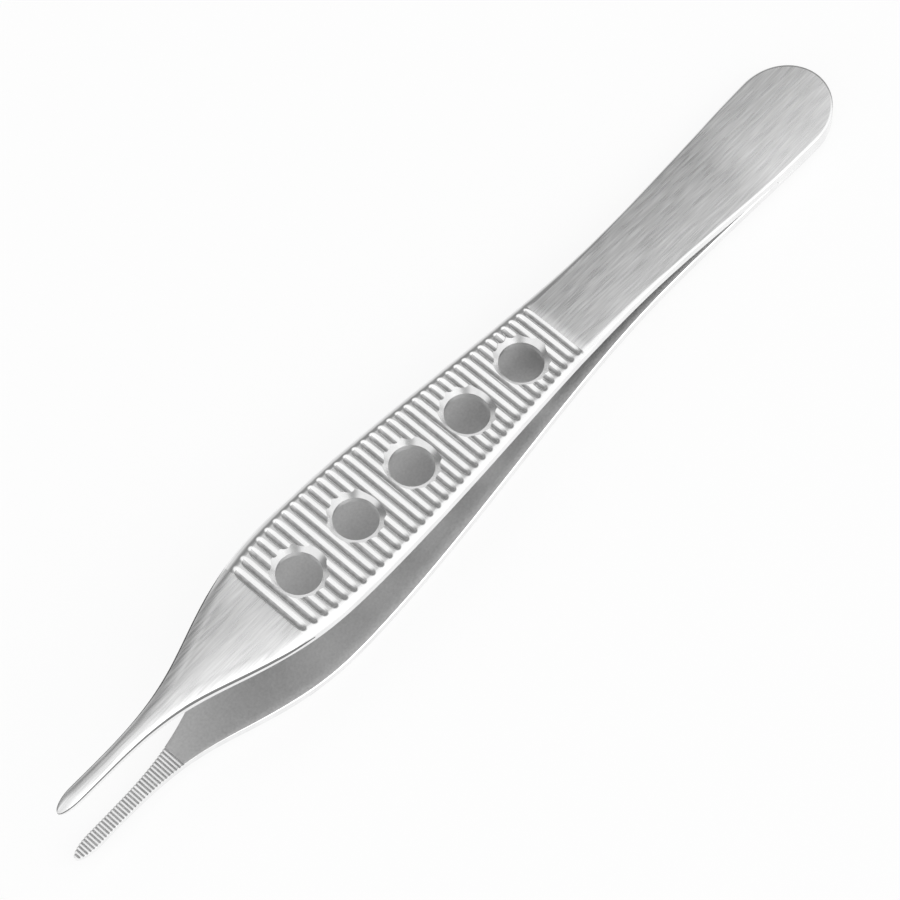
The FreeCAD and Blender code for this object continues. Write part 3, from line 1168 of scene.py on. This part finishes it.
def ranged(tree: bpy.types.NodeTree, value: Socket, source: tuple[float, float],
           target: tuple[float, float], kind: str = "LINEAR") -> Socket:
    """Value carried from one range to another, held at its ends.

    Args:
        tree: The nodes to add to.
        value: The value.
        source: The range that it has.
        target: The range that it gets.
        kind: How it runs between the ends, by the Map Range node's own name for it.

    Returns:
        The result.
    """
    made = tree.nodes.new("ShaderNodeMapRange")
    made.interpolation_type = kind
    made.inputs["From Min"].default_value, made.inputs["From Max"].default_value = source
    made.inputs["To Min"].default_value, made.inputs["To Max"].default_value = target
    tree.links.new(value, made.inputs["Value"])
    return made.outputs["Result"]


@dataclass(frozen=True)
class SteelFinish:
    """A finish of stainless steel, drawn on the strip's own map or in Object coordinates.

    Attributes:
        name: The material's name.
        colour: Middle of its colour.
        roughness: Middle of its roughness.
        spread: How far the streaks carry the roughness to each side of that.
        streaks: Cycles of the fine streaks to a millimetre, along and across the limb.
        bump: How far the streaks stand up, in millimetres.
        grain: How far the blasted grain stands up, in millimetres.
        shade: How far the streaks carry the colour to each side, as a share of it.
        grain_cycles: Cycles of the grain to a metre.
        fine_share: Share of the fine streaks, over the broad ones.
        broad_stretch: How much longer and wider the broad streaks are.
        details: Finer layers in the fine streaks, and in the broad ones and the grain.
        layer_strength: Strength of each finer layer beside the one before.
        noise_range: The noise's values that carry the roughness and the colour to their ends.
    """
    name: str
    colour: tuple[float, float, float]
    roughness: float
    spread: float
    streaks: tuple[float, float]
    bump: float
    grain: float = 0.0
    shade: float = 0.06
    grain_cycles: float = 3500.0
    fine_share: float = 0.7
    broad_stretch: tuple[float, float] = (3.0, 5.0)
    details: tuple[float, float] = (1.0, 2.0)
    layer_strength: float = 0.6
    noise_range: tuple[float, float] = (0.3, 0.7)

    def noise(self, tree: bpy.types.NodeTree, where: Socket,
              cycles: tuple[float, float, float], detail: float) -> Socket:
        """Noise with so many cycles to the unit of its coordinates on each axis.

        Args:
            tree: The nodes to add to.
            where: The coordinates.
            cycles: Cycles to the unit on each axis.
            detail: How many finer layers the noise has.

        Returns:
            The noise.
        """
        scale = tree.nodes.new("ShaderNodeMapping")
        scale.inputs["Scale"].default_value = cycles
        tree.links.new(where, scale.inputs["Vector"])
        made = tree.nodes.new("ShaderNodeTexNoise")
        made.inputs["Scale"].default_value = 1.0
        made.inputs["Detail"].default_value = detail
        made.inputs["Roughness"].default_value = self.layer_strength
        tree.links.new(scale.outputs["Vector"], made.inputs["Vector"])
        return made.outputs["Fac"]

    def raised(self, tree: bpy.types.NodeTree, height: Socket, rise: float,
               before: Socket | None) -> Socket:
        """Bump on top of an earlier one.

        Args:
            tree: The nodes to add to.
            height: The pattern.
            rise: How far it stands up, in millimetres.
            before: The earlier bump, if there is one.

        Returns:
            The normal.
        """
        made = tree.nodes.new("ShaderNodeBump")
        made.inputs["Strength"].default_value = 1.0
        made.inputs["Distance"].default_value = rise * METRE
        tree.links.new(height, made.inputs["Height"])
        if before is not None:
            tree.links.new(before, made.inputs["Normal"])
        return made.outputs["Normal"]

    def streak(self, tree: bpy.types.NodeTree) -> Socket:
        """Brushed streaks: fine noise drawn out along the limb, over a broader one.

        Args:
            tree: The nodes to add to.

        Returns:
            The two noises, mixed by their shares.
        """
        where = tree.nodes.new("ShaderNodeUVMap")
        where.uv_map = "strip"
        along, across = (cycles / MAP_UNIT for cycles in self.streaks)
        longer, wider = self.broad_stretch
        spot = where.outputs["UV"]
        fine = self.noise(tree, spot, (along, across, 1.0), self.details[0])
        broad = self.noise(tree, spot, (along / longer, across / wider, 1.0), self.details[1])
        rest = arithmetic(tree, "MULTIPLY", broad, 1.0 - self.fine_share)
        return arithmetic(tree, "MULTIPLY_ADD", fine, self.fine_share, rest)

    def material(self) -> bpy.types.Material:
        """The finish as nodes.

        Streaks vary the roughness by the spread and the colour by the shade, and stand up by
        the bump. Grain is fine noise for blasted steel.

        Returns:
            The material.
        """
        made = bpy.data.materials.new(self.name)
        made.use_nodes = True
        tree = made.node_tree
        shader = tree.nodes["Principled BSDF"]
        shader.inputs["Metallic"].default_value = 1.0
        streak = self.streak(tree)
        rough = ranged(tree, streak, self.noise_range,
                       (self.roughness - self.spread, self.roughness + self.spread))
        tree.links.new(rough, shader.inputs["Roughness"])
        tint = tree.nodes.new("ShaderNodeMixRGB")
        for name, share in (("Color1", 1.0 - self.shade), ("Color2", 1.0 + self.shade)):
            tint.inputs[name].default_value = (*[min(c * share, 1.0) for c in self.colour], 1.0)
        tree.links.new(ranged(tree, streak, self.noise_range, (0.0, 1.0)), tint.inputs["Fac"])
        tree.links.new(tint.outputs["Color"], shader.inputs["Base Color"])
        normal = self.raised(tree, streak, self.bump, None) if self.bump > 0.0 else None
        if self.grain > 0.0:
            place = tree.nodes.new("ShaderNodeTexCoord")
            grit = self.noise(tree, place.outputs["Object"], (self.grain_cycles,) * 3,
                              self.details[1])
            normal = self.raised(tree, grit, self.grain, normal)
        if normal is not None:
            tree.links.new(normal, shader.inputs["Normal"])
        return made


FINISHES = {
    Zone.SATIN: SteelFinish("satin_steel", (0.77, 0.77, 0.77), 0.30, 0.06, (0.26, 4.6), 0.0,
                            shade=0.16),
    Zone.RIDGES: SteelFinish("ridge_steel", (0.86, 0.86, 0.86), 0.26, 0.05, (4.5, 0.5), 0.003),
    Zone.EDGE: SteelFinish("edge_steel", (0.88, 0.88, 0.88), 0.14, 0.04, (0.3, 2.0), 0.001),
    Zone.BLASTED: SteelFinish("blasted_steel", (0.54, 0.54, 0.54), 0.48, 0.04, (3.2, 3.2), 0.002,
                              0.008, shade=0.09),
    Zone.CONE: SteelFinish("cone_steel", (0.74, 0.74, 0.74), 0.24, 0.05, (0.8, 0.8), 0.003),
    # painted dark reflection: a near-black finish on the strip at the top of the flank
    Zone.CREASE: SteelFinish("painted_dark_line_steel", (0.16, 0.16, 0.16), 0.40, 0.05, (0.8, 0.8), 0.002),
    # painted shade: darker finish for the groove bottoms and the notch walls that face the butt
    Zone.TROUGH: SteelFinish("painted_shade_steel", (0.54, 0.54, 0.54), 0.44, 0.05, (3.2, 1.6), 0.003,
                             0.004, shade=0.16),
}


@dataclass(frozen=True)
class Softbox:
    """A square lamp that looks at the forceps."""
    name: str
    azimuth: float
    elevation: float
    distance: float
    size: float
    watts: float

    def place(self) -> None:
        """Adds the lamp, facing the origin."""
        a, e = math.radians(self.azimuth), math.radians(self.elevation)
        spot = Vector((math.cos(a) * math.cos(e), math.sin(a) * math.cos(e), math.sin(e)))
        lamp = bpy.data.lights.new(self.name, "AREA")
        lamp.shape, lamp.size, lamp.energy = "SQUARE", self.size, self.watts
        thing = bpy.data.objects.new(self.name, lamp)
        thing.location = spot * self.distance
        thing.rotation_euler = spot.to_track_quat("Z", "Y").to_euler()
        bpy.context.scene.collection.objects.link(thing)


@dataclass(frozen=True)
class SkyPatch:
    """A part of the surroundings that is brighter or dimmer than the rest."""
    towards: tuple[float, float, float]
    fade: tuple[float, float]
    gain: float

    def level(self, tree: bpy.types.NodeTree, direction: Socket) -> Socket:
        """What the patch adds.

        Args:
            tree: The nodes to add to.
            direction: Where a ray goes.

        Returns:
            The gain, faded in by how far the direction leans towards the patch.
        """
        lean = tree.nodes.new("ShaderNodeVectorMath")
        lean.operation = "DOT_PRODUCT"
        lean.inputs[1].default_value = self.towards
        tree.links.new(direction, lean.inputs[0])
        return ranged(tree, lean.outputs["Value"], self.fade, (0.0, self.gain), "SMOOTHSTEP")


@dataclass(frozen=True)
class Studio:
    """Pale floor, surroundings, lamp and camera."""
    camera_spot: tuple[float, float, float] = (0.094097, 0.123875, 0.376914)
    camera_turn: tuple[float, float, float] = (22.2119, 4.5225, 132.1648)
    lens: float = 149.616
    sensor_width: float = 36.0
    nearest_seen: float = 0.01
    floor_size: float = 4.0
    floor_level: float = 0.9
    floor_white_share: float = 0.85
    base_level: float = 0.27
    patches: tuple[SkyPatch, ...] = (
        SkyPatch((0.35, 0.75, 0.55), (-0.12, 0.28), 0.85),
        SkyPatch((-0.25, -0.95, 0.10), (0.78, 0.97), 0.50),
        SkyPatch((0.34, 0.74, 0.56), (0.88, 0.98), -0.70),
    )
    softboxes: tuple[Softbox, ...] = (Softbox("key", 100.0, 55.0, 1.4, 1.2, 4.0),)

    def white_where_seen(self, tree: bpy.types.NodeTree, plain: Socket, out: Socket,
                         rays: tuple[str, ...], white: Socket, share: float) -> None:
        """Mixes in plain white for rays of the given kinds.

        Args:
            tree: The material's or the world's nodes.
            plain: What lights the scene.
            out: Where the mix goes.
            rays: The outputs of the light path that see white.
            white: What they see.
            share: How much of the white is mixed in.
        """
        path = tree.nodes.new("ShaderNodeLightPath")
        seen = path.outputs[rays[0]]
        for name in rays[1:]:
            seen = arithmetic(tree, "MAXIMUM", seen, path.outputs[name])
        mix = tree.nodes.new("ShaderNodeMixShader")
        tree.links.new(arithmetic(tree, "MULTIPLY", seen, share), mix.inputs[0])
        tree.links.new(plain, mix.inputs[1])
        tree.links.new(white, mix.inputs[2])
        tree.links.new(mix.outputs[0], out)

    def floor(self) -> None:
        """A wide pale floor at height 0."""
        s = self.floor_size / 2.0
        mesh = bpy.data.meshes.new("floor")
        mesh.from_pydata([(-s, -s, 0), (s, -s, 0), (s, s, 0), (-s, s, 0)], [], [(0, 1, 2, 3)])
        thing = bpy.data.objects.new("floor", mesh)
        bpy.context.scene.collection.objects.link(thing)
        made = bpy.data.materials.new("pale_floor")
        made.use_nodes = True
        tree = made.node_tree
        tree.nodes.clear()
        out = tree.nodes.new("ShaderNodeOutputMaterial")
        matt = tree.nodes.new("ShaderNodeBsdfDiffuse")
        matt.inputs["Color"].default_value = (*(self.floor_level,) * 3, 1.0)
        white = tree.nodes.new("ShaderNodeEmission")
        self.white_where_seen(tree, matt.outputs[0], out.inputs["Surface"],
                              ("Is Camera Ray", "Is Glossy Ray", "Is Transmission Ray"),
                              white.outputs[0], self.floor_white_share)
        mesh.materials.append(made)

    def world(self) -> None:
        """Surroundings at an even level plus their patches, seen as white by the camera."""
        world = bpy.data.worlds.new("surroundings")
        bpy.context.scene.world = world
        world.use_nodes = True
        tree = world.node_tree
        tree.nodes.clear()
        place = tree.nodes.new("ShaderNodeTexCoord")
        plain = tree.nodes.new("ShaderNodeBackground")
        level = self.base_level
        for patch in self.patches:
            level = arithmetic(tree, "ADD", level, patch.level(tree, place.outputs["Generated"]))
        tree.links.new(level, plain.inputs["Strength"])
        white = tree.nodes.new("ShaderNodeBackground")
        for background in (plain, white):
            background.inputs["Color"].default_value = (1.0, 1.0, 1.0, 1.0)
        out = tree.nodes.new("ShaderNodeOutputWorld")
        self.white_where_seen(tree, plain.outputs[0], out.inputs["Surface"],
                              ("Is Camera Ray", "Is Transmission Ray"), white.outputs[0], 1.0)

    def camera(self) -> None:
        """The camera, from above the tips and to one side, about 40 cm away."""
        eye = bpy.data.cameras.new("camera")
        eye.lens, eye.sensor_width, eye.clip_start = (self.lens, self.sensor_width,
                                                      self.nearest_seen)
        thing = bpy.data.objects.new("camera", eye)
        thing.location = self.camera_spot
        thing.rotation_euler = Euler([math.radians(v) for v in self.camera_turn])
        bpy.context.scene.collection.objects.link(thing)
        bpy.context.scene.camera = thing

    def build(self) -> None:
        """Sets up everything round the forceps."""
        self.floor()
        self.world()
        for softbox in self.softboxes:
            softbox.place()
        self.camera()
        bpy.context.scene.view_settings.view_transform = "Standard"


def main() -> None:
    """Builds the two limbs, the weld and the studio, and hides the solids that they take the place
    of.
    """
    logging.basicConfig(level=logging.INFO, format="%(name)s: %(message)s")
    Studio().build()
    finishes = [FINISHES[zone].material() for zone in Zone]
    for node, limb in (("upper_limb", Limb(Side.UPPER, holes=GripHoles())),
                       ("lower_limb", Limb(Side.LOWER))):
        piece = limb.build(node.replace("_limb", "_arm"), finishes)
        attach(piece, "root")
        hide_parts(node)
    bead = ButtWeld().build("weld_bead", finishes[Zone.EDGE])
    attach(bead, "root")
    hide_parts("butt_weld")


if __name__ == "__main__":
    main()
